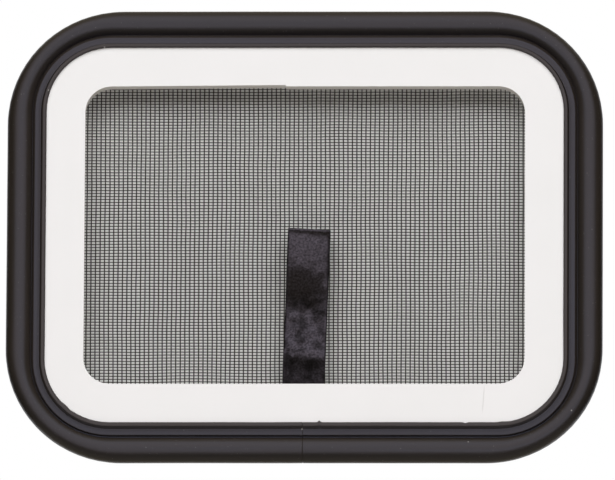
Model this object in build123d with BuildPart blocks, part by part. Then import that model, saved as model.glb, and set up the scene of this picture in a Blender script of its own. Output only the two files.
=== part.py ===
from build123d import *
import os

# Window insect screen: a white plastic plate with one rounded opening, fine mesh stuck
# behind it, a folded ribbon to pull it out by, and one length of hollow bulb trim pushed
# over the plate's edge all the way round.
# Millimetres. X is the width, Z is up, and the room side faces -Y.
# The origin is the middle of the screen, and the bulb is centred on y = 0.

os.makedirs("parts", exist_ok=True)

# Overall sizes
overall_width = 227.2
overall_height = 176.4
outer_corner_radius = 44.2

# Bulb trim, an extruded channel with a hollow bulb on its back
bulb_diameter = 10.0
bulb_wall = 1.6
bulb_root_overlap = 0.4
# Round rubber sections are drawn as polygons, their sides a multiple of four, to keep the
# corners light.
bulb_side_count = 20
hollow_side_count = 12
lip_corner_radius = 24.7
lip_thickness = 0.9
lip_tip_thickness = 0.45
lip_taper_width = 1.0
lip_bead_width = 1.8
lip_groove_width = 0.35
lip_groove_floor = 0.25
lip_band_setback = 0.5
channel_depth = 4.0
channel_web = 1.4
channel_back_thickness = 1.2
channel_back_setback = 0.4
channel_edge_bevel = 0.7
lip_edge_bevel = 0.2
channel_front_y = -4.75
joint_gap = 0.1
joint_x = -0.4

# Plate
plate_thickness = 5.0
plate_edge_clearance = 0.3
side_border = 14.7
top_border = 15.15
bottom_border = 15.0
opening_corner_radius = 10.2
overcut_rise = 0.5
overcut_length = 62.0
overcut_end_x = -7.4

# Mesh and the tape that holds it
tape_thickness = 1.0
tape_width = 5.0
tape_inset = 1.0
tape_ribbon_clearance = 1.0
mesh_margin = 7.0
mesh_ply_thickness = 0.18
mesh_columns = 12
mesh_rows = 10
mesh_bar_width = 4.0

# Pull ribbon, one strip folded double into a loop
ribbon_width = 16.0
ribbon_thickness = 0.3
ribbon_height = 61.1
ribbon_tail = 6.5
ribbon_lean = 2.0
ribbon_foot_x = -0.25
ribbon_ply_gap = 0.16
ribbon_mesh_gap = 0.35
ribbon_exit = 0.9
ribbon_exit_bend = 2.0
ribbon_wave_bend = 5.0
ribbon_fold_bend = 1.2
# Each wave of the front ply is its share of the ribbon's height and how far it stands
# forward of the back ply, in millimetres.
ribbon_waves = (
    (0.07, 1.9),
    (0.17, 4.1),
    (0.33, 3.6),
    (0.45, 2.2),
    (0.55, 1.3),
    (0.74, 3.9),
    (0.90, 3.4),
)
ribbon_fold_depth = 2.6

# Sizes that follow
bulb_radius = bulb_diameter / 2
web_outer = channel_depth + channel_web
bulb_offset = web_outer + bulb_radius - bulb_root_overlap
trim_width = bulb_offset + bulb_radius
lip_width = overall_width - 2 * trim_width
lip_height = overall_height - 2 * trim_width
plate_front_y = channel_front_y + lip_thickness
plate_back_y = plate_front_y + plate_thickness
channel_back_y = plate_back_y + channel_back_thickness
band_front_y = channel_front_y + lip_band_setback
groove_floor_y = plate_front_y - lip_groove_floor
plate_overhang = channel_depth - plate_edge_clearance
plate_width = lip_width + 2 * plate_overhang
plate_height = lip_height + 2 * plate_overhang
opening_width = lip_width - 2 * side_border
opening_height = lip_height - top_border - bottom_border
opening_centre_z = (bottom_border - top_border) / 2
opening_top_z = opening_centre_z + opening_height / 2
opening_bottom_z = opening_centre_z - opening_height / 2
mesh_front_y = plate_back_y + tape_thickness
mesh_width = opening_width + 2 * mesh_margin
mesh_height = opening_height + 2 * mesh_margin


def ring_path(half_width, half_height, radius):
    """Rounded rectangle walked anticlockwise from the trim's joint at the bottom."""
    left_start = joint_x - joint_gap / 2
    right_start = joint_x + joint_gap / 2
    with BuildLine(Plane.XZ) as path:
        side = Line((right_start, -half_height), (half_width - radius, -half_height))
        for next_length in (half_height, half_width, half_height):
            turn = JernArc(side @ 1, side % 1, radius, 90)
            side = Line(turn @ 1, turn @ 1 + (turn % 1) * 2 * (next_length - radius))
        turn = JernArc(side @ 1, side % 1, radius, 90)
        Line(turn @ 1, (left_start, -half_height))
    return path.line


def trim_section(offset):
    """Plane across the trim at its joint, local x outward and local y to the back."""
    start = (joint_x + joint_gap / 2, 0, -lip_height / 2 - offset)
    return Plane(origin=start, x_dir=(0, 0, -1), z_dir=(1, 0, 0))


# Bulb trim: the channel and the bulb are one extrusion, butt-joined at the bottom
with BuildPart() as edge_seal:
    with BuildSketch(trim_section(0)) as channel_section:
        with BuildLine():
            Polyline(
                (0, plate_front_y - lip_tip_thickness),
                (lip_taper_width, channel_front_y),
                (lip_bead_width, channel_front_y),
                (lip_bead_width, groove_floor_y),
                (lip_bead_width + lip_groove_width, groove_floor_y),
                (lip_bead_width + lip_groove_width, band_front_y),
                (web_outer, band_front_y),
                (web_outer, channel_back_y),
                (channel_back_setback, channel_back_y),
                (channel_back_setback, plate_back_y),
                (channel_depth, plate_back_y),
                (channel_depth, plate_front_y),
                (0, plate_front_y),
                close=True,
            )
        make_face()
        outer_corners = channel_section.vertices().group_by(Axis.X)[-1]
        chamfer(outer_corners, length=channel_edge_bevel)
        front_corners = channel_section.vertices().group_by(Axis.Y)[0]
        chamfer(front_corners, length=lip_edge_bevel)
    sweep(path=ring_path(lip_width / 2, lip_height / 2, lip_corner_radius))
    bulb_path = ring_path(
        lip_width / 2 + bulb_offset,
        lip_height / 2 + bulb_offset,
        outer_corner_radius - bulb_radius,
    )
    with BuildSketch(trim_section(bulb_offset)):
        RegularPolygon(bulb_radius, bulb_side_count)
    sweep(path=bulb_path)
    with BuildSketch(trim_section(bulb_offset)):
        RegularPolygon(bulb_radius - bulb_wall, hollow_side_count)
    sweep(path=bulb_path, mode=Mode.SUBTRACT)
    with BuildSketch(Plane.XZ.offset(-plate_back_y)):
        RectangleRounded(
            lip_width + 2 * channel_depth,
            lip_height + 2 * channel_depth,
            lip_corner_radius + channel_depth,
        )
    extrude(amount=plate_thickness, mode=Mode.SUBTRACT)
edge_seal.part.label = "edge_seal"

# Plate: its edge sits in the trim's channel, and its opening was cut by hand in two passes
with BuildPart() as frame_plate:
    with BuildSketch(Plane.XZ.offset(-plate_back_y)):
        RectangleRounded(plate_width, plate_height, lip_corner_radius + plate_overhang)
        with Locations((0, opening_centre_z)):
            RectangleRounded(
                opening_width, opening_height, opening_corner_radius, mode=Mode.SUBTRACT
            )
        with BuildLine():
            Polyline(
                (overcut_end_x - overcut_length, opening_top_z),
                (overcut_end_x, opening_top_z),
                (overcut_end_x, opening_top_z + overcut_rise),
                close=True,
            )
        make_face(mode=Mode.SUBTRACT)
    extrude(amount=plate_thickness)
frame_plate.part.label = "frame_plate"

# Tape: a ring of foam tape behind the plate, left open where the ribbon's tails go down
with BuildPart() as mesh_tape:
    tape_inner_width = opening_width + 2 * tape_inset
    tape_inner_height = opening_height + 2 * tape_inset
    with BuildSketch(Plane.XZ.offset(-mesh_front_y)):
        with Locations((0, opening_centre_z)):
            Rectangle(tape_inner_width + 2 * tape_width, tape_inner_height + 2 * tape_width)
            Rectangle(tape_inner_width, tape_inner_height, mode=Mode.SUBTRACT)
        with Locations((ribbon_foot_x, opening_bottom_z)):
            Rectangle(
                ribbon_width + 2 * tape_ribbon_clearance,
                2 * (tape_inset + 2 * tape_width),
                mode=Mode.SUBTRACT,
            )
    extrude(amount=tape_thickness)
mesh_tape.part.label = "mesh_tape"

# Mesh: bars up in front and bars across behind, fused where they cross, with a gap for
# each group of holes in the weave
with BuildPart() as insect_mesh:
    column_pitch = (mesh_width - mesh_bar_width) / mesh_columns
    row_pitch = (mesh_height - mesh_bar_width) / mesh_rows
    with BuildSketch(Plane.XZ.offset(-mesh_front_y - mesh_ply_thickness)):
        with Locations((0, opening_centre_z)):
            with GridLocations(column_pitch, 0, mesh_columns + 1, 1):
                Rectangle(mesh_bar_width, mesh_height)
    extrude(amount=mesh_ply_thickness)
    with BuildSketch(Plane.XZ.offset(-mesh_front_y - 2 * mesh_ply_thickness)):
        with Locations((0, opening_centre_z)):
            with GridLocations(0, row_pitch, 1, mesh_rows + 1):
                Rectangle(mesh_width, mesh_bar_width)
    extrude(amount=mesh_ply_thickness)
insect_mesh.part.label = "insect_mesh"

# Ribbon: both tails go down between the plate and the mesh, and the loop stands in front
# of the mesh, leaning to the right. Local x is the depth and local y runs up the ribbon.
lean = Vector(0, 0, 1).rotate(Axis.Y, ribbon_lean)
ribbon_side = Plane(
    origin=(ribbon_foot_x, 0, opening_bottom_z),
    x_dir=(0, 1, 0),
    z_dir=Vector(0, 1, 0).cross(lean),
)
ply_step = (ribbon_thickness + ribbon_ply_gap) / 2
front_tail_y = plate_back_y + tape_thickness / 2 - ply_step
back_tail_y = plate_back_y + tape_thickness / 2 + ply_step
back_ply_y = mesh_front_y - ribbon_mesh_gap - ribbon_thickness / 2
crown = ribbon_height - ribbon_thickness / 2
ribbon_route = [
    (front_tail_y, -ribbon_tail),
    (front_tail_y, ribbon_exit),
    *((back_ply_y - depth, share * ribbon_height) for share, depth in ribbon_waves),
    (back_ply_y - ribbon_fold_depth, crown),
    (back_ply_y, crown),
    (back_ply_y, 2 * ribbon_exit),
    (back_tail_y, ribbon_exit),
    (back_tail_y, -ribbon_tail),
]
ribbon_bends = [ribbon_exit_bend]
ribbon_bends += [ribbon_wave_bend for wave in ribbon_waves]
ribbon_bends += [ribbon_fold_bend, ribbon_fold_bend, ribbon_exit_bend, ribbon_exit_bend]
with BuildPart() as pull_ribbon:
    with BuildSketch(ribbon_side):
        with BuildLine():
            FilletPolyline(*ribbon_route, radius=ribbon_bends)
        trace(line_width=ribbon_thickness)
    extrude(amount=ribbon_width / 2, both=True)
pull_ribbon.part.label = "pull_ribbon"

for piece in (edge_seal, frame_plate, mesh_tape, insect_mesh, pull_ribbon):
    export_step(piece.part, f"parts/{piece.part.label}.step")
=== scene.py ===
import math

import bmesh
import bpy
from bpy.props import (
    FloatProperty,
    FloatVectorProperty,
    IntProperty,
    PointerProperty,
    StringProperty,
)
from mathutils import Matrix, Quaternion, Vector, noise


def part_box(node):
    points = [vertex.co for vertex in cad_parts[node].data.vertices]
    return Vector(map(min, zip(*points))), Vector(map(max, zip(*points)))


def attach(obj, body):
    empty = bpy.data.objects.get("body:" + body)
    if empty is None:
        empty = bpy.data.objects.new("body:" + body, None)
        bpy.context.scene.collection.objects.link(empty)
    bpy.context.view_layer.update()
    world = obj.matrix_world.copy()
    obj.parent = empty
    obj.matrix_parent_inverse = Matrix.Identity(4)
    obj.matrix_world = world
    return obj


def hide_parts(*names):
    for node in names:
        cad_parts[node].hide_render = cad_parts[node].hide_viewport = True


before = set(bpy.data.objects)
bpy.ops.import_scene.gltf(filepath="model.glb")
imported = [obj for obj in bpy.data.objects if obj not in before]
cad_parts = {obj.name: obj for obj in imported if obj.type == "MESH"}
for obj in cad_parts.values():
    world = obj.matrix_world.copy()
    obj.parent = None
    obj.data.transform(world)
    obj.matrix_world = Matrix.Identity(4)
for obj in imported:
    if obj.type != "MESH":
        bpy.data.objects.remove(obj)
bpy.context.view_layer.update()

bl_info = {
    "name": "Window insect screen",
    "version": (1, 0, 0),
    "blender": (4, 5, 0),
    "location": "View3D > Sidebar > Insect screen",
    "description": "Dresses the framed insect screen: trim, plate, woven mesh, tape and ribbon",
    "category": "Object",
}

MM = 0.001
SEAL_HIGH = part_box("edge_seal")[1]
PLATE_LOW, PLATE_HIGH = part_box("frame_plate")
MESH_LOW, MESH_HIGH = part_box("insect_mesh")
TAPE_LOW, TAPE_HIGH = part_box("mesh_tape")
RIBBON_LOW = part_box("pull_ribbon")[0]


# Small helpers


def linear(hex_colour):
    """An sRGB hex colour as linear RGBA."""
    channels = [int(hex_colour[i : i + 2], 16) / 255 for i in (1, 3, 5)]
    flat, power = 12.92, 2.4
    return tuple(
        c / flat if c <= 0.04045 else ((c + 0.055) / 1.055) ** power for c in channels
    ) + (1.0,)


def add(tree, kind, links=None, **settings):
    """Adds a node. settings are its properties and links its inputs: each is a plain value,
    a socket, or a node, which gives its first live output."""
    node = tree.nodes.new(kind)
    for name, value in settings.items():
        setattr(node, name, value)
    for key, value in (links or {}).items():
        if isinstance(value, bpy.types.Node):
            value = next(output for output in value.outputs if output.enabled)
        if isinstance(value, bpy.types.NodeSocket):
            tree.links.new(value, node.inputs[key])
        else:
            node.inputs[key].default_value = value
    return node


def new_material(name):
    """A material with an empty node tree, as (material, tree)."""
    material = bpy.data.materials.new(name)
    material.use_nodes = True
    material.node_tree.nodes.clear()
    return material, material.node_tree


def finish(material, look):
    """Ends a material in a surface with a given look."""
    surface = add(material.node_tree, "ShaderNodeBsdfPrincipled", look)
    add(material.node_tree, "ShaderNodeOutputMaterial", {"Surface": surface})
    return material


def linked(name, data):
    """A new object in the scene, at the origin."""
    thing = bpy.data.objects.new(name, data)
    bpy.context.scene.collection.objects.link(thing)
    return thing


def new_piece(name, mesh, materials, smooth=True):
    """An object of a mesh with its finishes."""
    for material in materials:
        mesh.materials.append(material)
    if smooth:
        mesh.shade_smooth()
    return linked(name, mesh)


def mesh_of(bm, name):
    """Ends the work on a mesh."""
    mesh = bpy.data.meshes.new(name)
    bm.to_mesh(mesh)
    bm.free()
    return mesh


def dress(node, material):
    """Gives a piece of the frame one finish."""
    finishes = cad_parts[node].data.materials
    finishes.clear()
    finishes.append(material)


def bezier(start, corner, end, t):
    """A point on the quadratic curve that starts and ends on the sides of a corner."""
    return start * (1 - t) ** 2 + corner * 2 * t * (1 - t) + end * t**2


def running_lengths(points):
    """How far along a line each of its points lies."""
    lengths = [0.0]
    for here, there in zip(points, points[1:]):
        lengths.append(lengths[-1] + (there - here).length)
    return lengths


def softened(corners, steps=4):
    """A closed outline whose corners, given as (u, y, radius), are rounded."""
    count = len(corners)
    outline = []
    for i, (u, y, radius) in enumerate(corners):
        corner = Vector((u, y))
        if radius == 0:
            outline.append(corner)
            continue
        before = Vector(corners[i - 1][:2])
        after = Vector(corners[(i + 1) % count][:2])
        start = corner + (before - corner).normalized() * radius
        end = corner + (after - corner).normalized() * radius
        outline += [bezier(start, corner, end, k / steps) for k in range(steps + 1)]
    return outline


# Settings that a user would change


def millimetres(name, description, value):
    """A length as a setting."""
    return FloatProperty(name=name, description=description, default=value * MM, unit="LENGTH")


def degrees(name, description, value):
    """An angle as a setting."""
    start = math.radians(value)
    return FloatProperty(name=name, description=description, default=start, subtype="ANGLE")


class TrimSettings(bpy.types.PropertyGroup):
    """Section and course of the edge trim."""

    bulb_radius: millimetres("Bulb radius", "Outside of the hollow bulb", 5.0)
    bulb_wall: millimetres("Bulb wall", "Wall of the hollow bulb", 1.6)
    bulb_offset: millimetres("Bulb offset", "Lip's inner edge to the bulb's centre", 10.0)
    outer_corner: millimetres("Outer corner", "Corner radius of the whole screen", 44.2)
    lip_corner: millimetres("Lip corner", "Corner radius of the lip's inner edge", 24.7)
    web_outer: millimetres("Web", "Lip's inner edge to the back of the web", 5.4)
    channel_depth: millimetres("Channel depth", "How far the plate goes in", 4.0)
    band_drop: millimetres("Band drop", "How low the band sits beside the bead", 0.58)
    joint_x: millimetres("Joint", "Where the trim's two ends meet", -0.4)
    joint_gap: millimetres("Joint gap", "Gap between the trim's two ends", 0.03)
    station_step: millimetres("Step", "Spacing of sections along the trim", 2.6)


class WeaveSettings(bpy.types.PropertyGroup):
    """The insect mesh, strand by strand."""

    pitch_across: millimetres("Pitch across", "Spacing of the upright strands", 1.7145)
    pitch_up: millimetres("Pitch up", "Spacing of the cross strands", 1.169)
    upright_width: millimetres("Upright width", "Width of an upright strand", 0.445)
    cross_width: millimetres("Cross width", "Width of a cross strand", 0.33)
    wave: millimetres("Wave", "How far a strand weaves in and out", 0.11)
    unevenness: millimetres("Unevenness", "How far strands stray in the sheet", 0.16)
    seed: IntProperty(name="Seed", description="Which unevenness is drawn", default=7)


class RibbonSettings(bpy.types.PropertyGroup):
    """The pull ribbon, one strip folded double."""

    width: millimetres("Width", "Width of the strip", 16.0)
    thickness: millimetres("Thickness", "Thickness of the strip", 0.28)
    height: millimetres("Height", "Loop above the opening's lower edge", 61.1)
    tail: millimetres("Tail", "Ends held behind the plate", 6.5)
    lean: degrees("Lean", "Lean to the right", 2.0)
    foot_x: millimetres("Foot", "Middle of the ribbon at its foot", -0.25)


class ColourSettings(bpy.types.PropertyGroup):
    """Colours of the finishes, as sRGB hex."""

    plate: StringProperty(name="Plate", description="Foamed sheet", default="#F1EFF0")
    bulb: StringProperty(name="Bulb", description="Sponge rubber", default="#24211D")
    channel: StringProperty(name="Channel", description="Dense rubber", default="#26221F")
    strand: StringProperty(name="Strand", description="Coated yarn", default="#2C2926")
    ribbon: StringProperty(name="Ribbon", description="Satin", default="#090806")
    tape: StringProperty(name="Tape", description="Foam tape", default="#E4E1DA")


class StudioSettings(bpy.types.PropertyGroup):
    """Camera and light."""

    photo_width: IntProperty(name="Photo width", description="Pixels", default=615)
    photo_height: IntProperty(name="Photo height", description="Pixels", default=480)
    pixel: millimetres("Pixel", "Size of one photo pixel at the screen", 0.381)
    centre_px: FloatVectorProperty(
        name="Centre", description="The screen's middle in the photo", size=2, default=(304.7, 236.8)
    )
    azimuth: degrees("Azimuth", "Camera round to the right", 1.4)
    elevation: degrees("Elevation", "Camera above the horizon", -13)
    roll: degrees("Roll", "Camera turned about its own axis", 0.3)
    lens: FloatProperty(name="Lens", description="Focal length in millimetres", default=1000)
    key_power: FloatProperty(name="Key power", description="High softbox, in watts", default=184.0)
    back_power: FloatProperty(name="Back power", description="Softbox behind, in watts", default=16.0)
    world_light: FloatProperty(name="World", description="Plain light from all round", default=0.03)
    floor_drop: millimetres("Floor", "Floor below the screen's middle", 500)


# Finishes


def foamed_sheet():
    """Foamed PVC sheet, rolled between satin plates and sawn to shape.
    It gives a flat, even white with a very fine peel, and greyer, rougher cut edges."""
    material, tree = new_material("foamed_pvc_sheet")
    place = add(tree, "ShaderNodeTexCoord").outputs["Object"]
    normal = add(tree, "ShaderNodeNewGeometry").outputs["Normal"]
    depth = add(tree, "ShaderNodeSeparateXYZ", {0: normal}).outputs["Y"]
    facing = add(tree, "ShaderNodeMath", {0: depth}, operation="ABSOLUTE")
    cut = add(tree, "ShaderNodeMapRange", {"Value": facing, "From Min": 0.7, "From Max": 0.3})
    # Clouding about 30 mm across, and cells of the foam about 0.3 mm across on the cut edge
    cloud = add(tree, "ShaderNodeTexNoise", {"Vector": place, "Scale": 35.0, "Detail": 3.0})
    cells = add(tree, "ShaderNodeTexNoise", {"Vector": place, "Scale": 3200.0, "Detail": 2.0})
    colour = linear(bpy.context.scene.screen_colours.plate)
    for mark, shade in ((cloud, "#ECEBEB"), (scratch(tree, place), "#B9B6B4")):
        layer = {"Factor": mark, "A": colour, "B": linear(shade)}
        colour = add(tree, "ShaderNodeMix", layer, data_type="RGBA")
    sawn, pitted = linear("#E6E4E2"), linear("#CFCBC6")
    edge = add(tree, "ShaderNodeMix", {"Factor": cells, "A": sawn, "B": pitted}, data_type="RGBA")
    colour = add(tree, "ShaderNodeMix", {"Factor": cut, "A": colour, "B": edge}, data_type="RGBA")
    rough = add(tree, "ShaderNodeMapRange", {"Value": cut, "To Min": 0.42, "To Max": 0.8})
    # The peel of a rolled face is about 1 mm across and 0.02 mm deep
    peel = add(tree, "ShaderNodeTexNoise", {"Vector": place, "Scale": 900.0, "Detail": 2.0})
    relief = add(tree, "ShaderNodeMix", {"Factor": cut, "A": peel, "B": cells}, data_type="FLOAT")
    bump = add(tree, "ShaderNodeBump", {"Strength": 0.25, "Distance": 0.02 * MM, "Height": relief})
    look = {"Base Color": colour, "Roughness": rough, "Normal": bump, "IOR": 1.53}
    look["Specular IOR Level"] = 0.4
    return finish(material, look)


def scratch(tree, place):
    """Mask of one faint hairline scratch on the plate's lower right."""
    middle = Vector((68.3, 0, -64.3)) * MM
    half_length, width = 5.8 * MM, 0.28 * MM
    slant = (0, math.radians(-4), 0)
    strength = 0.5
    centred = add(tree, "ShaderNodeMapping", {"Vector": place, "Location": -middle})
    turned = add(tree, "ShaderNodeMapping", {"Vector": centred, "Rotation": slant})
    parts = add(tree, "ShaderNodeSeparateXYZ", {0: turned}).outputs
    across = add(tree, "ShaderNodeMath", {0: parts["X"]}, operation="ABSOLUTE")
    along = add(tree, "ShaderNodeMath", {0: parts["Z"]}, operation="ABSOLUTE")
    thin = add(tree, "ShaderNodeMapRange", {"Value": across, "From Min": width, "From Max": 0.0})
    ends = {"Value": along, "From Min": half_length, "From Max": half_length / 2}
    short = add(tree, "ShaderNodeMapRange", ends)
    both = add(tree, "ShaderNodeMath", {0: thin, 1: short}, operation="MULTIPLY")
    return add(tree, "ShaderNodeMath", {0: both, 1: strength}, operation="MULTIPLY")


# Pale flecks seen on the trim, and one painted glint among them, each as x, z and radius in millimetres
FLECKS_AND_GLINT = (
    (-76.7, 73.2, 0.45),
    # This one is a painted glint, a highlight painted pale on the rubber
    (-98.0, 56.4, 0.35),
    (101.8, -68.8, 0.35),
    (62.6, -80.9, 0.30),
    (-0.5, -75.9, 0.40),
)


def flecks_and_glint(tree, place):
    """Mask of the pale flecks and of one painted glint, round in the front view."""
    flat = add(tree, "ShaderNodeVectorMath", {0: place, 1: (1.0, 0.0, 1.0)}, operation="MULTIPLY")
    mask = 0.0
    for x, z, radius in FLECKS_AND_GLINT:
        spot = Vector((x, 0, z)) * MM
        away = add(tree, "ShaderNodeVectorMath", {0: flat, 1: spot}, operation="DISTANCE")
        pale = add(tree, "ShaderNodeMapRange", {"Value": away, "From Min": radius * MM, "From Max": 0.0})
        mask = add(tree, "ShaderNodeMath", {0: pale, 1: mask}, operation="MAXIMUM")
    return mask


def extruded_rubber(name, colour, roughness, pores, gloss, tint):
    """Extruded rubber, black from carbon. It gives a dull, broad highlight, faint lines
    along its length from the die, fine pores, clinging pale dust and pale flecks, one of
    which is a painted glint. pores is how many pores lie in a metre."""
    material, tree = new_material(name)
    place = add(tree, "ShaderNodeTexCoord").outputs["Object"]
    along = add(tree, "ShaderNodeUVMap", uv_map="trim")
    # Die lines about 40 mm long and 0.4 mm wide, and pores of 0.25 to 0.4 mm
    stretched = add(tree, "ShaderNodeMapping", {"Vector": along, "Scale": (25.0, 2600.0, 1.0)})
    lines = add(tree, "ShaderNodeTexNoise", {"Vector": stretched, "Scale": 1.0})
    pits = add(tree, "ShaderNodeTexNoise", {"Vector": place, "Scale": pores, "Detail": 3.0})
    height = add(tree, "ShaderNodeMath", {0: lines, 1: pits}, operation="ADD")
    bump = add(tree, "ShaderNodeBump", {"Strength": 0.35, "Distance": 0.03 * MM, "Height": height})
    # Specks of dust about 0.3 mm across, thinly scattered
    dust = add(tree, "ShaderNodeTexNoise", {"Vector": place, "Scale": 1500.0, "Detail": 1.0})
    thinned = {"Value": dust, "From Min": 0.74, "From Max": 0.80, "To Max": 0.35}
    specks = add(tree, "ShaderNodeMapRange", thinned)
    # Streaks along the extrusion, some 80 mm long and 2 mm wide
    drawn = add(tree, "ShaderNodeMapping", {"Vector": along, "Scale": (12.0, 520.0, 1.0)})
    streaks = add(tree, "ShaderNodeTexNoise", {"Vector": drawn, "Scale": 1.0, "Detail": 3.0})
    body = linear(colour)
    # The last layer holds the pale flecks and one painted glint among them
    for mark, shade in ((streaks, "#2F2822"), (specks, "#8C8A88"), (flecks_and_glint(tree, place), "#B5B2AE")):
        layer = {"Factor": mark, "A": body, "B": linear(shade)}
        body = add(tree, "ShaderNodeMix", layer, data_type="RGBA")
    dullest, glossiest = roughness + 0.06, roughness - 0.06
    spread = {"Value": streaks, "From Min": 0.3, "From Max": 0.7, "To Min": glossiest, "To Max": dullest}
    look = {
        "Base Color": body,
        "Roughness": add(tree, "ShaderNodeMapRange", spread),
        "Normal": bump,
        "IOR": 1.5,
        "Specular IOR Level": gloss,
        "Specular Tint": linear(tint),
    }
    return finish(material, look)


def coated_yarn():
    """Vinyl-coated yarn, woven and heat-set. It gives fine black strands with a dull gleam."""
    material, tree = new_material("coated_yarn")
    place = add(tree, "ShaderNodeTexCoord").outputs["Object"]
    # Worn patches about 4 mm across
    worn = add(tree, "ShaderNodeTexNoise", {"Vector": place, "Scale": 220.0, "Detail": 3.0})
    black, brown = linear(bpy.context.scene.screen_colours.strand), linear("#37332F")
    colour = add(tree, "ShaderNodeMix", {"Factor": worn, "A": black, "B": brown}, data_type="RGBA")
    return finish(material, {"Base Color": colour, "Roughness": 0.5, "Specular IOR Level": 0.35})


def satin():
    """Satin-woven polyester ribbon. Long floats along the strip give a soft sheen
    where it faces the light and near black where it turns away."""
    material, tree = new_material("satin_ribbon")
    cloth = add(tree, "ShaderNodeUVMap", uv_map="cloth")
    # Floats 0.12 mm wide in life are drawn about 0.3 mm wide, so that they show
    stretched = add(tree, "ShaderNodeMapping", {"Vector": cloth, "Scale": (3300.0, 260.0, 1.0)})
    floats = add(tree, "ShaderNodeTexNoise", {"Vector": stretched, "Scale": 1.0, "Detail": 2.0})
    # Puckers 1 to 2 mm across, where the strip has been handled
    puckers = add(tree, "ShaderNodeTexNoise", {"Vector": cloth, "Scale": 650.0, "Detail": 3.0})
    coarse = {"Strength": 0.8, "Distance": 0.12 * MM, "Height": puckers}
    fine = {"Strength": 0.8, "Distance": 0.05 * MM, "Height": floats}
    fine["Normal"] = add(tree, "ShaderNodeBump", coarse)
    # Each float rises along the strip and dives at its end, which turns the gloss down
    run = add(tree, "ShaderNodeSeparateXYZ", {0: cloth}).outputs["Y"]
    rise = math.tan(math.radians(19))
    lay = add(tree, "ShaderNodeMath", {0: run, 1: rise}, operation="MULTIPLY")
    tilt = {"Strength": 1.0, "Distance": 1.0, "Height": lay}
    tilt["Normal"] = add(tree, "ShaderNodeBump", fine)
    # Speckle about 0.7 mm across, where floats start and end
    speckle = add(tree, "ShaderNodeTexNoise", {"Vector": cloth, "Scale": 1250.0, "Detail": 2.0})
    black, paler = linear(bpy.context.scene.screen_colours.ribbon), linear("#13120F")
    colour = add(tree, "ShaderNodeMix", {"Factor": speckle, "A": black, "B": paler}, data_type="RGBA")
    look = {
        "Base Color": colour,
        "Normal": add(tree, "ShaderNodeBump", tilt),
        # The gloss level holds painted shade on the foot below the crease
        "Specular IOR Level": satin_gloss(tree, cloth, run, speckle),
        # Gloss spreads across the floats and stays tight along them
        "Tangent": add(tree, "ShaderNodeTangent", direction_type="UV_MAP", uv_map="cloth"),
        "Anisotropic": 0.3,
        "Roughness": 0.46,
        "IOR": 1.6,
        "Specular Tint": linear("#F4E6FF"),
    }
    return finish(material, look)


def satin_gloss(tree, cloth, run, speckle):
    """Level of the satin's gloss: lowered from the crease down as painted shade, and dulled by handling in
    patches above that.
    """
    bright = {"Value": speckle, "From Min": 0.35, "From Max": 0.65, "To Min": 0.5, "To Max": 1.15}
    gloss = add(tree, "ShaderNodeMapRange", bright)
    # Painted shade: the gloss is lowered on the foot, from the crease down
    crease = {"Value": run, "From Min": 16.5 * MM, "From Max": 19 * MM, "To Min": 0.55}
    painted_foot_shade = add(tree, "ShaderNodeMapRange", crease)
    level = add(tree, "ShaderNodeMath", {0: gloss, 1: painted_foot_shade}, operation="MULTIPLY")
    # Fingers have mottled it above that, in patches 3 to 6 mm across
    patches = add(tree, "ShaderNodeTexNoise", {"Vector": cloth, "Scale": 240.0, "Detail": 3.0})
    touched = {"Value": patches, "From Min": 0.38, "From Max": 0.58, "To Min": 0.35}
    mottled = add(tree, "ShaderNodeMapRange", touched)
    clean = add(tree, "ShaderNodeMapRange", {"Value": run, "From Min": 36 * MM, "From Max": 46 * MM})
    handled = add(tree, "ShaderNodeMath", {0: mottled, 1: clean}, operation="MAXIMUM")
    return add(tree, "ShaderNodeMath", {0: level, 1: handled}, operation="MULTIPLY")


def foam_tape():
    """Double-sided foam tape, calendered. It gives a dull off-white with fine open cells."""
    material, tree = new_material("foam_tape")
    place = add(tree, "ShaderNodeTexCoord").outputs["Object"]
    # Cells about 0.4 mm across
    cells = add(tree, "ShaderNodeTexVoronoi", {"Vector": place, "Scale": 2500.0})
    white, shaded = linear(bpy.context.scene.screen_colours.tape), linear("#C9C4BA")
    colour = add(tree, "ShaderNodeMix", {"Factor": cells, "A": white, "B": shaded}, data_type="RGBA")
    bump = add(tree, "ShaderNodeBump", {"Strength": 0.5, "Distance": 0.05 * MM, "Height": cells})
    return finish(material, {"Base Color": colour, "Roughness": 0.75, "Normal": bump})


# Edge trim


def ring_stations(half_width, half_height, radius, step, start_x, gap):
    """Points and outward normals round a rounded rectangle, from the joint at the bottom."""
    stations = []

    def straight(start, end, normal):
        start, end = Vector(start), Vector(end)
        count = max(2, math.ceil((end - start).length / step))
        stations.extend((start.lerp(end, k / count), normal) for k in range(count + 1))

    def corner(centre, first):
        count = math.ceil(radius * math.pi / 2 / step)
        for k in range(1, count):
            angle = first + math.pi / 2 * k / count
            normal = Vector((math.cos(angle), math.sin(angle)))
            stations.append((Vector(centre) + normal * radius, normal))

    inner_x, inner_z = half_width - radius, half_height - radius
    down, right, up, left = Vector((0, -1)), Vector((1, 0)), Vector((0, 1)), Vector((-1, 0))
    first, last = start_x + gap / 2, start_x - gap / 2
    near = 0.35 * MM
    straight((first, -half_height), (first + near, -half_height), down)
    straight((first + near, -half_height), (inner_x, -half_height), down)
    corner((inner_x, -inner_z), -math.pi / 2)
    straight((half_width, -inner_z), (half_width, inner_z), right)
    corner((inner_x, inner_z), 0)
    straight((inner_x, half_height), (-inner_x, half_height), up)
    corner((-inner_x, inner_z), math.pi / 2)
    straight((-half_width, inner_z), (-half_width, -inner_z), left)
    corner((-inner_x, -inner_z), math.pi)
    straight((-inner_x, -half_height), (last - near, -half_height), down)
    straight((last - near, -half_height), (last, -half_height), down)
    return [here for here, there in zip(stations, stations[1:]) if here[0] != there[0]] + stations[-1:]


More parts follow.
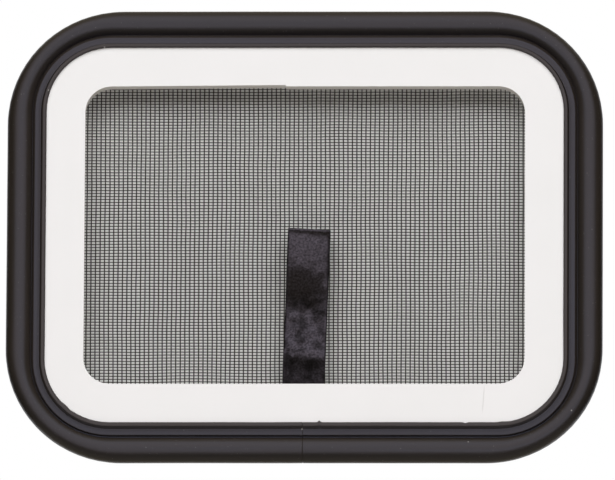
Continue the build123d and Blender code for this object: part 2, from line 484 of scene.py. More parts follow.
def bulb_reach(point, normal, trim, half_width, half_height):
    """How far outward the bulb's centre lies. It draws in where the trim turns a corner."""
    radius = trim.outer_corner - trim.bulb_radius
    centre_x = math.copysign(half_width + trim.bulb_offset - radius, point.x)
    centre_z = math.copysign(half_height + trim.bulb_offset - radius, point.y)
    centre = Vector((centre_x, centre_z))
    away = point - centre
    out = away.dot(normal)
    reach = -out + math.sqrt(max(0.0, out**2 - away.length_squared + radius**2))
    met = away + normal * reach
    in_corner = met.x * centre.x > 0 and met.y * centre.y > 0
    return reach if in_corner else trim.bulb_offset


def channel_corners(trim, shift):
    """The channel's section as (u, y, radius): bead, groove, band, web and back leg, where u
    runs outward from the lip's inner edge. The band is moved outward by shift, which widens
    the groove beside it."""
    tip, lip, bead = 0.35 * MM, 0.92 * MM, 1.45 * MM
    groove, groove_floor = 0.65 * MM, 0.03 * MM
    # The band is highest at the groove and falls away from it
    crest, fall, setback = 0.36 * MM, 1.1 * MM, 0.75 * MM
    band_outer = 4.5 * MM
    band_inner = bead + groove + shift
    back_inset, back_leg = 0.4 * MM, 1.2 * MM
    # The crease between the band and the bulb is shallower where it is narrow
    crease, crease_inset, crease_reach = -2.05 * MM - 0.95 * max(0.0, shift), 0.1 * MM, 0.6 * MM
    plate_front, plate_back = PLATE_LOW.y, PLATE_HIGH.y
    front = plate_front - lip
    floor = plate_front - groove_floor
    back = plate_back + back_leg
    return [
        (0.0, plate_front - tip, 0.12 * MM),
        (0.3 * MM, front + 0.1 * MM, 0.25 * MM),
        (bead, front, 0.3 * MM),
        (band_inner, floor, 0.02 * MM),
        (band_inner, front + crest, 0.12 * MM),
        (band_inner + fall, front + setback, 0.7 * MM),
        (band_outer + shift, front + setback, 0.35 * MM),
        (trim.web_outer - crease_inset, crease, 0.15 * MM),
        (trim.web_outer + crease_reach, crease, 0.0),
        (trim.web_outer, 0.0, 0.0),
        (trim.web_outer, back, 0.9 * MM),
        (back_inset, back, 0.4 * MM),
        (back_inset, plate_back, 0.1 * MM),
        (trim.channel_depth, plate_back, 0.0),
        (trim.channel_depth, plate_front, 0.0),
        (0.0, plate_front, 0.0),
    ]


# Small faults of the lip, each as x, z, how far it is pushed outward, and its length, in
# millimetres. A push below zero is inward, over the plate.
LIP_FAULTS = (
    (-90.4, -66.6, -0.25, 1.5),
    (-88.6, -68.4, 0.12, 1.2),
    (75.6, -73.1, -0.25, 1.6),
    (6.0, -73.2, -0.65, 0.55),
    (61.5, -73.2, 0.35, 0.7),
)


def lip_fault(point):
    """How far the lip is pushed out of line at a point of its edge."""
    total = 0.0
    for x, z, push, length in LIP_FAULTS:
        away = (point - Vector((x, z)) * MM).length
        total += push * MM * math.exp(-((away / (length * MM)) ** 2))
    return total


def finer_near_faults(stations):
    """Adds sections where the lip has a fault."""
    reach, parts = 3.5 * MM, 8
    finer = [stations[0]]
    for (here, normal), (there, other) in zip(stations, stations[1:]):
        middle = (here + there) / 2
        near = any((middle - Vector(fault[:2]) * MM).length < reach for fault in LIP_FAULTS)
        if near:
            for k in range(1, parts):
                share = k / parts
                finer.append((here.lerp(there, share), normal.lerp(other, share).normalized()))
        finer.append((there, other))
    return finer


def tube(bm, uv, rings, lengths, finishes, closed_ends=False):
    """Skins a row of closed rings and may cap its ends. Its UVs are metres along and shares
    of a usual girth round. finishes holds the material's index for each strip of the ring."""
    girth = 30 * MM
    rows = [[bm.verts.new(place) for place in ring] for ring in rings]
    count = len(rows[0])
    for i in range(len(rows) - 1):
        for k in range(count):
            j = (k + 1) % count
            face = bm.faces.new((rows[i][k], rows[i][j], rows[i + 1][j], rows[i + 1][k]))
            face.material_index = finishes[k]
            around = [k / count, (k + 1) / count, (k + 1) / count, k / count]
            along = [lengths[i], lengths[i], lengths[i + 1], lengths[i + 1]]
            for loop, a, b in zip(face.loops, along, around):
                loop[uv].uv = (a, b * girth)
    if closed_ends:
        for row in (rows[0], rows[-1]):
            bm.faces.new(row).material_index = finishes[0]
    return rows


def ring_at(point, normal, outline):
    """An outline of (u, y) pairs set across the trim, where point is on the lip's edge."""
    ring = []
    for u, y in outline:
        flat = point + normal * u
        ring.append(Vector((flat.x, y, flat.y)))
    return ring


def strayed_section(section, aside, back):
    """The channel's section with its lip pushed aside and back, and its back leg as it is."""
    lip_reach = 3 * MM
    strayed = []
    for u, y in section:
        share = max(0.0, 1 - u / lip_reach) if y < 0 else 0.0
        strayed.append((u + aside * share, y + back * share))
    return strayed


def oval(middle, half_across, half_deep, sides):
    """An oval outline as (u, y) pairs."""
    turns = [2 * math.pi * k / sides for k in range(sides)]
    return [(middle + math.cos(turn) * half_across, math.sin(turn) * half_deep) for turn in turns]


def trim_rings(trim, half_width, half_height, stations, lengths):
    """Rings of the channel, of the bulb and of its hollow, and the section they end in."""
    bulb_sides, root_overlap = 48, 0.4 * MM
    root = trim.web_outer - root_overlap
    core = trim.bulb_radius - trim.bulb_wall
    sway_depth, sway_length = 0.07 * MM, 24 * MM
    proud_depth, proud_length = 0.12 * MM, 9 * MM
    cut_depth, cut_length = 0.12 * MM, 0.25 * MM
    swell_share, swell_most, swell_length = 0.012, 1.004, 31 * MM
    channel, skin, hollow = [], [], []
    for (point, normal), length in zip(stations, lengths):
        left = lengths[-1] - length
        # The lip sways a little along its length
        sway = sway_depth * noise.noise(Vector((length / sway_length, 3.1, 0)))
        # The second end of the trim sits a little proud of the first
        proud = proud_depth * math.exp(-left / proud_length)
        # Both ends are cut a little round
        cut = cut_depth * math.exp(-min(length, left) / cut_length)
        # The band sits low all round: nearer the bead at the top, farther from it at the bottom
        section = softened(channel_corners(trim, -trim.band_drop * normal.y))
        strayed = strayed_section(section, lip_fault(point) + sway, cut - proud)
        channel.append(ring_at(point, normal, strayed))
        # The bulb swells and shrinks a little along its length
        swell = 1 + swell_share * noise.noise(Vector((length / swell_length, 9.7, 0)))
        radius = trim.bulb_radius * min(swell, swell_most) - cut
        # In a corner it is squashed between the web and its own tight outer skin
        reach = bulb_reach(point, normal, trim, half_width, half_height)
        half = (reach + radius - root) / 2
        skin.append(ring_at(point, normal, oval(root + half, half, radius, bulb_sides)))
        inside = oval(root + half, half - trim.bulb_wall, core, bulb_sides)
        hollow.append(ring_at(point, normal, inside))
    return channel, skin, hollow, section


def trim_mesh(trim):
    """The whole length of trim: channel and hollow bulb, bent round the plate."""
    half_width = SEAL_HIGH.x - trim.bulb_offset - trim.bulb_radius
    half_height = SEAL_HIGH.z - trim.bulb_offset - trim.bulb_radius
    stations = ring_stations(
        half_width, half_height, trim.lip_corner, trim.station_step, trim.joint_x, trim.joint_gap
    )
    stations = finer_near_faults(stations)
    lengths = running_lengths([point for point, normal in stations])
    channel, skin, hollow, section = trim_rings(trim, half_width, half_height, stations, lengths)
    bm = bmesh.new()
    uv = bm.loops.layers.uv.new("trim")
    # Finish 0 is the bulb's sponge rubber, 1 the channel's dense one, 2 the bead's browner one
    bead_reach = 1.6 * MM
    finishes = [2 if u < bead_reach and y < PLATE_LOW.y else 1 for u, y in section]
    tube(bm, uv, channel, lengths, finishes, closed_ends=True)
    sides = len(skin[0])
    outer = tube(bm, uv, skin, lengths, [0] * sides)
    inner = tube(bm, uv, hollow, lengths, [0] * sides)
    # The bulb's two ends show its wall round the hollow
    for end in (0, -1):
        for k in range(sides):
            j = (k + 1) % sides
            bm.faces.new((outer[end][k], outer[end][j], inner[end][j], inner[end][k]))
    bmesh.ops.recalc_face_normals(bm, faces=bm.faces)
    return mesh_of(bm, "edge_trim")


# Pull ribbon


# Each line of the front ply is its height above the opening's edge, and how far its left
# edge, its middle and its right edge stand forward of the back ply, in millimetres.
FRONT_PLY = (
    (1.6, 0.5, 0.5, 0.6),
    (4.6, 1.6, 1.5, 1.9),
    (7.8, 2.8, 2.6, 3.2),
    (10.2, 3.7, 3.4, 4.0),
    (12.2, 3.7, 3.3, 3.8),
    (16.0, 2.7, 2.3, 2.7),
    (20.0, 1.8, 1.4, 2.5),
    (24.0, 1.2, 0.8, 2.7),
    (28.0, 1.2, 0.8, 2.9),
    (31.5, 1.5, 1.2, 3.1),
    (35.0, 2.4, 2.2, 3.3),
    (38.5, 3.8, 3.6, 3.6),
    (42.0, 5.2, 4.9, 3.8),
    (45.5, 6.0, 5.6, 3.9),
    (50.0, 6.6, 5.9, 4.0),
    (55.0, 6.8, 5.9, 4.0),
    (58.6, 6.7, 5.8, 3.9),
    (60.3, 7.4, 6.6, 5.1),
)


def ribbon_route(ribbon, side):
    """The strip from tail to tail as (y, height), at its left (side 0) to right (side 1)."""
    # The two tails lie this far in front of and behind the middle of the gap at the tape
    step = 0.23 * MM
    tail_y = (PLATE_HIGH.y + MESH_LOW.y) / 2
    back_y = MESH_LOW.y - 0.5 * MM
    crown = ribbon.height - ribbon.thickness / 2
    exit_height = 0.9 * MM
    fold = 1.0 * MM
    front_y, rear_y = tail_y - step, tail_y + step
    route = [(front_y, -ribbon.tail), (front_y, -ribbon.tail / 2), (front_y, exit_height)]
    for height, left, middle, right in FRONT_PLY:
        forward = left * (1 - side) * (1 - 2 * side) + middle * 4 * side * (1 - side)
        forward += right * side * (2 * side - 1)
        route.append((back_y - forward * MM, height * MM))
    route += [(back_y - fold, crown), (back_y - fold / 2, crown)]
    route += [(back_y, crown * share) for share in (1.0, 0.75, 0.5, 0.25)]
    route += [(back_y, 2 * exit_height), (rear_y, exit_height)]
    route += [(rear_y, -ribbon.tail / 2), (rear_y, -ribbon.tail)]
    return [Vector(spot) for spot in route]


def smooth_route(route, steps):
    """Rounds a route: a curve from the middle of each run to the middle of the next."""
    points = [route[0]]
    for before, corner, after in zip(route, route[1:], route[2:]):
        start, end = (before + corner) / 2, (corner + after) / 2
        points += [bezier(start, corner, end, k / steps) for k in range(steps)]
    points.append((route[-2] + route[-1]) / 2)
    points.append(route[-1])
    return points


# Dents of the front ply: height, place across from -1 to 1, depth, and reach up and across,
# in millimetres. A positive depth stands forward.
DENTS = (
    (17.8, -0.26, 0.85, 1.6, 2.2),
    (22.6, -0.30, 0.60, 1.8, 2.4),
    (20.6, 0.25, 0.50, 1.7, 2.0),
    (13.6, 0.30, 0.45, 1.8, 2.2),
    (26.5, -0.65, 0.40, 2.0, 2.0),
    (15.2, -0.75, 0.40, 1.6, 1.8),
    (30.0, 0.20, -0.35, 3.0, 2.0),
    (6.0, 0.40, 0.35, 1.8, 1.6),
)


def dent(height, across, half_width):
    """How far the front ply is pushed forward at a place, in metres."""
    total = 0.0
    for centre, side, depth, reach_up, reach_across in DENTS:
        up = (height / MM - centre) / reach_up
        out = (across - side) * half_width / MM / reach_across
        total += depth * math.exp(-(up**2) - out**2)
    return total * MM


def strip_line(ribbon, foot, across, steps):
    """One line of points along the strip from tail to tail, at a place across from -1 to 1."""
    half_width = ribbon.width / 2
    lean = Vector((math.sin(ribbon.lean), 0, math.cos(ribbon.lean)))
    side = Vector((math.cos(ribbon.lean), 0, -math.sin(ribbon.lean)))
    # Dents and wrinkles fade out at the foot and at the fold
    fade = 5 * MM
    selvage, curl_depth = 0.14, 0.45 * MM
    crease, crease_reach, ragged_depth = 10.6 * MM, 2.5 * MM, 0.9 * MM
    wrinkle_depth, wrinkle_height, wrinkles_across = 0.22 * MM, 3.4 * MM, 2.6
    front_count = (3 + len(FRONT_PLY)) * steps
    line = []
    for i, (y, height) in enumerate(smooth_route(ribbon_route(ribbon, (across + 1) / 2), steps)):
        front = min(1.0, max(0.0, height / fade)) if i < front_count else 0.0
        top = min(1.0, max(0.0, (ribbon.height - height) / fade))
        wrinkle = noise.noise(Vector((across * wrinkles_across, height / wrinkle_height, 1.7)))
        forward = dent(height, across, half_width) + wrinkle_depth * wrinkle
        # The selvages curl back
        curl = curl_depth * max(0.0, (abs(across) - 1 + selvage) / selvage) ** 2
        pushed = y - forward * front * top + curl * front
        # The sharp crease above the foot runs ragged
        jag = noise.noise(Vector((across * 4.5, 6.2, 0))) - 0.5 * across
        near = math.exp(-(((height - crease) / crease_reach) ** 2))
        ragged = height + ragged_depth * jag * near * front
        line.append(foot + lean * ragged + side * (across * half_width) + Vector((0, pushed, 0)))
    return line


def ribbon_mesh(ribbon):
    """The middle surface of the strip, which gets its thickness later, and its length."""
    columns, steps = 36, 6
    # The opening's lower edge, from the ribbon's lowest corner in the frame
    foot_z = RIBBON_LOW.z + ribbon.tail * math.cos(ribbon.lean) + ribbon.width / 2 * math.sin(ribbon.lean)
    foot = Vector((ribbon.foot_x, 0, foot_z))
    lines = [strip_line(ribbon, foot, 2 * c / columns - 1, steps) for c in range(columns + 1)]
    along = running_lengths(lines[columns // 2])
    bm = bmesh.new()
    uv = bm.loops.layers.uv.new("cloth")
    rows = [[bm.verts.new(line[i]) for line in lines] for i in range(len(along))]
    for i in range(len(rows) - 1):
        for c in range(columns):
            spots = ((i, c), (i, c + 1), (i + 1, c + 1), (i + 1, c))
            face = bm.faces.new([rows[a][b] for a, b in spots])
            for loop, (a, b) in zip(face.loops, spots):
                loop[uv].uv = (b / columns * ribbon.width, along[a])
    return mesh_of(bm, "satin_loop"), along[-1]


# Woven mesh, made by a node tree


def strands(tree, given, count, crossings, across, along, width, sign):
    """One set of strands as (curves, ring). Its strands stand side by side on one axis,
    across, and run on the other, along. Each has a point at every crossing."""
    place = add(tree, "GeometryNodeInputPosition")
    pitch, first = given["Pitch"], given["First crossing"]
    start = add(tree, "ShaderNodeVectorMath", {0: first, 1: across}, operation="MULTIPLY")
    step = add(tree, "ShaderNodeVectorMath", {0: pitch, 1: across}, operation="MULTIPLY")
    row = {"Count": given[count], "Start Location": start, "Offset": step}
    line = add(tree, "GeometryNodeMeshLine", row)
    # Each strand starts a pitch before its first crossing and ends a pitch after its last
    before = add(tree, "ShaderNodeVectorMath", {0: first, 1: pitch}, operation="SUBTRACT")
    low = add(tree, "ShaderNodeVectorMath", {0: before, 1: along}, operation="MULTIPLY")
    high = add(tree, "ShaderNodeVectorMath", {0: low, "Scale": -1.0}, operation="SCALE")
    strand = add(tree, "GeometryNodeCurvePrimitiveLine", {"Start": low, "End": high})
    points = add(tree, "ShaderNodeMath", {0: given[crossings], 1: 2.0}, operation="ADD")
    fine = add(tree, "GeometryNodeResampleCurve", {"Curve": strand, "Count": points})
    spread = add(tree, "GeometryNodeInstanceOnPoints", {"Points": line, "Instance": fine})
    real = add(tree, "GeometryNodeRealizeInstances", {0: spread})
    # The ends are then cut back by a little over half a pitch
    cut_back = Vector(along) * -0.55
    side = add(tree, "ShaderNodeVectorMath", {0: place}, operation="SIGN")
    inward = add(tree, "ShaderNodeVectorMath", {0: side, 1: pitch}, operation="MULTIPLY")
    shorter = add(tree, "ShaderNodeVectorMath", {0: inward, 1: cut_back}, operation="MULTIPLY")
    ends = add(tree, "GeometryNodeCurveEndpointSelection", {"Start Size": 1, "End Size": 1})
    trimmed = add(tree, "GeometryNodeSetPosition", {"Geometry": real, "Selection": ends, "Offset": shorter})
    # Strands pass in and out at alternate crossings: half a turn of a wave for each pitch
    away = add(tree, "ShaderNodeVectorMath", {0: place, 1: first}, operation="SUBTRACT")
    crossing = add(tree, "ShaderNodeVectorMath", {0: away, 1: pitch}, operation="DIVIDE")
    half_turns = (math.pi, 0.0, math.pi)
    turn = add(tree, "ShaderNodeVectorMath", {0: crossing, 1: half_turns}, operation="DOT_PRODUCT")
    height = add(tree, "ShaderNodeMath", {0: turn}, operation="COSINE")
    wave = add(tree, "ShaderNodeMath", {0: given["Wave"], 1: sign}, operation="MULTIPLY")
    depth = add(tree, "ShaderNodeMath", {0: height, 1: wave}, operation="MULTIPLY")
    weave = add(tree, "ShaderNodeCombineXYZ", {"Y": depth})
    waved = add(tree, "GeometryNodeSetPosition", {"Geometry": trimmed, "Offset": weave})
    # There are so many strands that each has only four sides
    sides = 4
    radius = add(tree, "ShaderNodeMath", {0: given[width], 1: 0.5}, operation="MULTIPLY")
    ring = add(tree, "GeometryNodeCurvePrimitiveCircle", {"Resolution": sides, "Radius": radius})
    return waved, ring


def strayed(tree, given, geometry):
    """Shifts whole neighbourhoods of the weave a little in its plane, and sets it at its place."""
    place = add(tree, "GeometryNodeInputPosition")
    # Neighbourhoods are about 20 mm across
    course = {"Vector": place, "W": given["Seed"], "Scale": 45.0, "Detail": 1.0}
    drift = add(tree, "ShaderNodeTexNoise", course, noise_dimensions="4D").outputs["Color"]
    middle = (0.5, 0.5, 0.5)
    centred = add(tree, "ShaderNodeVectorMath", {0: drift, 1: middle}, operation="SUBTRACT")
    # The noise stays within a quarter either way
    reach = add(tree, "ShaderNodeMath", {0: given["Unevenness"], 1: 4.0}, operation="MULTIPLY")
    sized = add(tree, "ShaderNodeVectorMath", {0: centred, "Scale": reach}, operation="SCALE")
    flat = add(tree, "ShaderNodeVectorMath", {0: sized, 1: (1.0, 0.0, 1.0)}, operation="MULTIPLY")
    moved = add(tree, "ShaderNodeVectorMath", {0: flat, 1: given["Place"]}, operation="ADD")
    return add(tree, "GeometryNodeSetPosition", {"Geometry": geometry, "Offset": moved})


def weave_tree(material):
    """Geometry nodes for a plain weave. Pitch and First crossing are vectors in its plane."""
    tree = bpy.data.node_groups.new("plain_weave", "GeometryNodeTree")
    tree.interface.new_socket("Geometry", in_out="OUTPUT", socket_type="NodeSocketGeometry")
    inputs = {
        "NodeSocketVector": ("Pitch", "First crossing", "Place"),
        "NodeSocketFloat": ("Upright width", "Cross width", "Wave", "Unevenness"),
        "NodeSocketInt": ("Uprights", "Crosses", "Seed"),
    }
    for kind, names in inputs.items():
        for name in names:
            tree.interface.new_socket(name, in_out="INPUT", socket_type=kind)
    given = add(tree, "NodeGroupInput").outputs
    right, up = (1.0, 0.0, 0.0), (0.0, 0.0, 1.0)
    joined = add(tree, "GeometryNodeJoinGeometry")
    sets = (
        ("Uprights", "Crosses", right, up, "Upright width", 1.0),
        ("Crosses", "Uprights", up, right, "Cross width", -1.0),
    )
    for count, crossings, across, along, width, sign in sets:
        curves, ring = strands(tree, given, count, crossings, across, along, width, sign)
        skin = add(
            tree,
            "GeometryNodeCurveToMesh",
            {"Curve": strayed(tree, given, curves), "Profile Curve": ring, "Fill Caps": True},
        )
        tree.links.new(skin.outputs[0], joined.inputs[0])
    smooth = add(tree, "GeometryNodeSetShadeSmooth", {0: joined, "Shade Smooth": True})
    real = add(tree, "GeometryNodeRealizeInstances", {0: smooth})
    dressed = add(tree, "GeometryNodeSetMaterial", {"Geometry": real, "Material": material})
    add(tree, "NodeGroupOutput", {0: dressed})
    return tree


def set_input(modifier, name, value):
    """Sets a node tree's input by its socket's identifier."""
    for item in modifier.node_group.interface.items_tree:
        if item.item_type == "SOCKET" and item.in_out == "INPUT" and item.name == name:
            modifier[item.identifier] = value
            return
    raise KeyError(name)


# Stage


def seen_directly(tree):
    """1 for what the camera sees itself, in gloss or through glass, and 0 for light."""
    path = add(tree, "ShaderNodeLightPath").outputs
    seen = path["Is Camera Ray"]
    for kind in ("Is Glossy Ray", "Is Transmission Ray"):
        seen = add(tree, "ShaderNodeMath", {0: seen, 1: path[kind]}, operation="MAXIMUM")
    return seen


def white_world(level):
    """White to the camera and to gloss, and a plain even light on everything else."""
    world = bpy.data.worlds.new("white_studio")
    bpy.context.scene.world = world
    world.use_nodes = True
    tree = world.node_tree
    tree.nodes.clear()
    strength = add(tree, "ShaderNodeMapRange", {"Value": seen_directly(tree), "To Min": level})
    white = linear("#FFFFFF")
    background = add(tree, "ShaderNodeBackground", {"Color": white, "Strength": strength})
    add(tree, "ShaderNodeOutputWorld", {"Surface": background})


def stage_sheet(name, corners, material, hidden_from):
    """A flat four-cornered piece of the stage, hidden from some kinds of ray."""
    mesh = bpy.data.meshes.new(name)
    mesh.from_pydata(corners, [], [(0, 1, 2, 3)])
    piece = new_piece(name, mesh, [material], smooth=False)
    for kind in hidden_from:
        setattr(piece, f"visible_{kind}", False)


def pale_floor(drop):
    """A round pale floor well below the screen, white to the camera but for the shadow.
    Its warm white lights the screen from below."""
    material, tree = new_material("pale_floor")
    floor_radius = 1.6
    # This and the lamps' light on the paint come to white
    own_light = 0.8
    lift = add(tree, "ShaderNodeMath", {0: seen_directly(tree), 1: own_light}, operation="MULTIPLY")
    glow = add(tree, "ShaderNodeEmission", {"Strength": lift})
    paint = add(tree, "ShaderNodeBsdfDiffuse", {"Color": linear("#D2CDC6")})
    both = add(tree, "ShaderNodeAddShader", {0: glow, 1: paint})
    add(tree, "ShaderNodeOutputMaterial", {"Surface": both})
    bm = bmesh.new()
    bmesh.ops.create_circle(bm, cap_ends=True, segments=96, radius=floor_radius)
    bmesh.ops.translate(bm, verts=bm.verts, vec=(0, 0, -drop))
    new_piece("pale_floor", mesh_of(bm, "pale_floor"), [material], smooth=False)


def pale_backing():
    """The pale surface that the screen leans on, seen through the mesh, where it takes the
    frame's soft shadow. It shows to the camera alone, and not from behind."""
    material, tree = new_material("pale_backing")
    paint = add(tree, "ShaderNodeBsdfDiffuse", {"Color": linear("#FAFAF8")})
    glow = add(tree, "ShaderNodeEmission", {"Strength": 0.02})
    pale = add(tree, "ShaderNodeAddShader", {0: glow, 1: paint})
    clear = add(tree, "ShaderNodeBsdfTransparent")
    back = add(tree, "ShaderNodeNewGeometry").outputs["Backfacing"]
    both = add(tree, "ShaderNodeMixShader", {0: back, 1: pale, 2: clear})
    add(tree, "ShaderNodeOutputMaterial", {"Surface": both})
    # It lies just behind the trim, and reaches past the tape
    behind, margin = 0.4 * MM, 6 * MM
    depth = SEAL_HIGH.y + behind
    left, right = TAPE_LOW.x - margin, TAPE_HIGH.x + margin
    bottom, top = TAPE_LOW.z - margin, TAPE_HIGH.z + margin
    corners = [(left, depth, bottom), (right, depth, bottom), (right, depth, top), (left, depth, top)]
    stage_sheet("pale_backing", corners, material, ("diffuse", "glossy", "transmission", "shadow"))


def card(name, corners, level):
    """A large warm card of a given brightness, seen only in reflections."""
    material, tree = new_material(name)
    glow = add(tree, "ShaderNodeEmission", {"Color": linear("#FFF3CC"), "Strength": level})
    add(tree, "ShaderNodeOutputMaterial", {"Surface": glow})
    stage_sheet(name, corners, material, ("camera", "diffuse", "transmission", "shadow"))


def dark_cards():
    """Dark cards all round. As in a photo studio, they give black rubber and satin their
    dark parts, and leave the front of the room white."""
    side, front, back = 0.75, -0.75, 0.7
    floor, roof = -0.45, 0.75
    left = [(-side, front, floor), (-side, back, floor), (-side, back, roof), (-side, front, roof)]
    right = [(-x, y, z) for x, y, z in left]
    edge, middle = -0.62, -0.12
    below = [(-side, edge, floor), (side, edge, floor), (side, middle, floor), (-side, middle, floor)]
    behind = [(-side, middle, floor), (side, middle, floor), (side, back, floor), (-side, back, floor)]
    overhang = -0.3
    above = [(-side, overhang, roof), (side, overhang, roof), (side, back, roof), (-side, back, roof)]
    card("left_card", left, 0.0)
    card("right_card", right, 0.0)
    card("lower_card", below, 0.07)
    card("rear_card", behind, 0.3)
    card("upper_card", above, 0.25)


def softbox(name, place, size, power):
    """A large soft lamp that faces the screen's middle."""
    lamp = bpy.data.lights.new(name, "AREA")
    lamp.shape = "RECTANGLE"
    lamp.size, lamp.size_y = size
    lamp.energy = power
    box = linked(name, lamp)
    box.location = place
    box.rotation_mode = "QUATERNION"
    box.rotation_quaternion = Vector(place).to_track_quat("Z", "Y")
    box.visible_camera = False
    # Gloss shows the even white room and not each lamp
    box.visible_glossy = False


def photo_camera(studio):
    """The photo's long, low view: nearly square on, from a little below."""
    data = bpy.data.cameras.new("photo_camera")
    data.lens = studio.lens
    data.sensor_width = 36.0
    camera = linked("photo_camera", data)
    a, e = studio.azimuth, studio.elevation
    back = Vector((math.sin(a) * math.cos(e), -math.cos(a) * math.cos(e), math.sin(e)))
    turn = back.to_track_quat("Z", "Y") @ Quaternion((0, 0, 1), studio.roll)
    across, up = turn @ Vector((1, 0, 0)), turn @ Vector((0, 1, 0))
    frame_width = studio.photo_width * studio.pixel
    distance = frame_width / data.sensor_width * data.lens
    shift_x = (studio.photo_width / 2 - studio.centre_px[0]) * studio.pixel
    shift_up = (studio.centre_px[1] - studio.photo_height / 2) * studio.pixel
    camera.location = back * distance + across * shift_x + up * shift_up
    camera.rotation_mode = "QUATERNION"
    camera.rotation_quaternion = turn
    data.clip_start, data.clip_end = 0.1, 50.0
    bpy.context.scene.camera = camera


# Operators


class INSECT_SCREEN_OT_studio(bpy.types.Operator):
    """Sets the camera, lights, floor, pale backing and dark cards"""

    bl_idname = "insect_screen.studio"
    bl_label = "Studio"

    def execute(self, context):
        studio = context.scene.screen_studio
        context.scene.view_settings.view_transform = "Standard"
        photo_camera(studio)
        white_world(studio.world_light)
        pale_floor(studio.floor_drop)
        pale_backing()
        softbox("high_softbox", place=(0.0, -2.25, 2.3), size=(6.0, 2.8), power=studio.key_power)
        softbox("back_softbox", place=(0.2, 1.1, 0.7), size=(1.6, 1.0), power=studio.back_power)
        dark_cards()
        return {"FINISHED"}


class INSECT_SCREEN_OT_plate(bpy.types.Operator):
    """Finishes the white plate"""

    bl_idname = "insect_screen.plate"
    bl_label = "Plate"

    def execute(self, context):
        dress("frame_plate", foamed_sheet())
        return {"FINISHED"}


class INSECT_SCREEN_OT_trim(bpy.types.Operator):
    """Bends the bulb trim round the plate"""

    bl_idname = "insect_screen.trim"
    bl_label = "Edge trim"

    def execute(self, context):
        colours = context.scene.screen_colours
        finishes = [
            extruded_rubber(
                "sponge_rubber", colours.bulb, roughness=0.4, pores=2600.0, gloss=0.66, tint="#DEE1FF"
            ),
            extruded_rubber(
                "dense_rubber", colours.channel, roughness=0.45, pores=4200.0, gloss=0.76, tint="#D0D9FF"
            ),
            extruded_rubber(
                "lip_rubber", colours.channel, roughness=0.45, pores=4200.0, gloss=0.72, tint="#F4F0FF"
            ),
        ]
        piece = new_piece("edge_trim", trim_mesh(context.scene.screen_trim), finishes)
        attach(piece, "root")
        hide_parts("edge_seal")
        return {"FINISHED"}


class INSECT_SCREEN_OT_weave(bpy.types.Operator):
    """Weaves the insect mesh"""

    bl_idname = "insect_screen.weave"
    bl_label = "Insect mesh"

    def execute(self, context):
        weave = context.scene.screen_weave
        size = MESH_HIGH - MESH_LOW
        middle = (MESH_HIGH + MESH_LOW) / 2
        holder = linked("weave_maker", bpy.data.meshes.new("weave_maker"))
        modifier = holder.modifiers.new("plain_weave", "NODES")
        modifier.node_group = weave_tree(coated_yarn())
        depth = MESH_LOW.y + weave.wave + weave.upright_width / 2
        uprights = round(size.x / weave.pitch_across)
        crosses = round(size.z / weave.pitch_up)
        low_x = -(uprights - 1) / 2 * weave.pitch_across
        low_z = -(crosses - 1) / 2 * weave.pitch_up
        values = {
            # The weave is flat, so a pitch of 1 in depth only keeps the division safe
            "Pitch": (weave.pitch_across, 1.0, weave.pitch_up),
            "First crossing": (low_x, 0.0, low_z),
            "Place": (0.0, depth, middle.z),
            "Upright width": weave.upright_width,
            "Cross width": weave.cross_width,
            "Wave": weave.wave,
            "Unevenness": weave.unevenness,
            "Uprights": uprights,
            "Crosses": crosses,
            "Seed": weave.seed,
        }
        for name, value in values.items():
            set_input(modifier, name, value)
        evaluated = holder.evaluated_get(context.evaluated_depsgraph_get())
        mesh = bpy.data.meshes.new_from_object(evaluated)
        bpy.data.objects.remove(holder)
        if not mesh.polygons:
            raise RuntimeError("the weave is empty")
        mesh.name = "woven_screen"
        piece = linked("woven_screen", mesh)
        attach(piece, "root")
        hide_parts("insect_mesh")
        return {"FINISHED"}


class INSECT_SCREEN_OT_tape(bpy.types.Operator):
    """Finishes the foam tape behind the plate"""

    bl_idname = "insect_screen.tape"
    bl_label = "Tape"

    def execute(self, context):
        dress("mesh_tape", foam_tape())
        return {"FINISHED"}


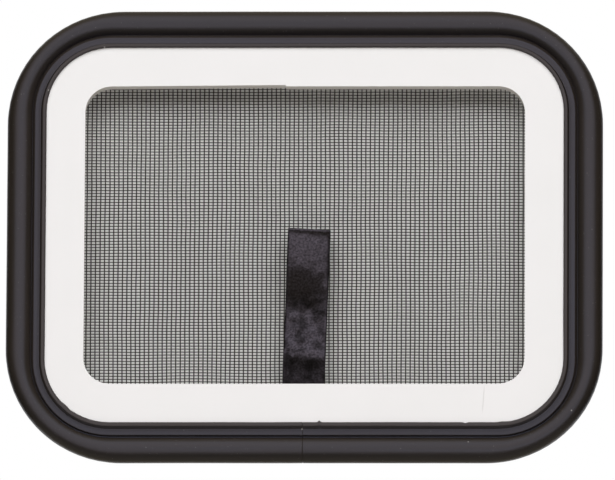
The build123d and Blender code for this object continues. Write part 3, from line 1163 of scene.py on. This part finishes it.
class INSECT_SCREEN_OT_ribbon(bpy.types.Operator):
    """Folds the satin pull ribbon"""

    bl_idname = "insect_screen.ribbon"
    bl_label = "Pull ribbon"

    def execute(self, context):
        ribbon = context.scene.screen_ribbon
        mesh, length = ribbon_mesh(ribbon)
        piece = new_piece("satin_loop", mesh, [satin()])
        solid = piece.modifiers.new("thickness", "SOLIDIFY")
        solid.thickness = ribbon.thickness
        solid.offset = 0.0
        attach(piece, "root")
        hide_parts("pull_ribbon")
        return {"FINISHED"}


class INSECT_SCREEN_PT_panel(bpy.types.Panel):
    """Lists the screen's pieces"""

    bl_idname = "INSECT_SCREEN_PT_panel"
    bl_label = "Insect screen"
    bl_space_type = "VIEW_3D"
    bl_region_type = "UI"
    bl_category = "Insect screen"

    def draw(self, context):
        for operator in OPERATORS:
            self.layout.operator(operator.bl_idname)
        for name in SETTINGS:
            group = getattr(context.scene, name)
            box = self.layout.box()
            for key in group.__annotations__:
                box.prop(group, key)


OPERATORS = (
    INSECT_SCREEN_OT_studio,
    INSECT_SCREEN_OT_plate,
    INSECT_SCREEN_OT_trim,
    INSECT_SCREEN_OT_weave,
    INSECT_SCREEN_OT_tape,
    INSECT_SCREEN_OT_ribbon,
)
SETTINGS = {
    "screen_trim": TrimSettings,
    "screen_weave": WeaveSettings,
    "screen_ribbon": RibbonSettings,
    "screen_colours": ColourSettings,
    "screen_studio": StudioSettings,
}


def register():
    for name, group in SETTINGS.items():
        bpy.utils.register_class(group)
        setattr(bpy.types.Scene, name, PointerProperty(type=group))
    for operator in OPERATORS:
        bpy.utils.register_class(operator)
    bpy.utils.register_class(INSECT_SCREEN_PT_panel)


def unregister():
    bpy.utils.unregister_class(INSECT_SCREEN_PT_panel)
    for operator in reversed(OPERATORS):
        bpy.utils.unregister_class(operator)
    for name, group in reversed(SETTINGS.items()):
        delattr(bpy.types.Scene, name)
        bpy.utils.unregister_class(group)


def main():
    register()
    bpy.ops.insect_screen.studio()
    bpy.ops.insect_screen.plate()
    bpy.ops.insect_screen.trim()
    bpy.ops.insect_screen.weave()
    bpy.ops.insect_screen.tape()
    bpy.ops.insect_screen.ribbon()


if __name__ == "__main__":
    main()
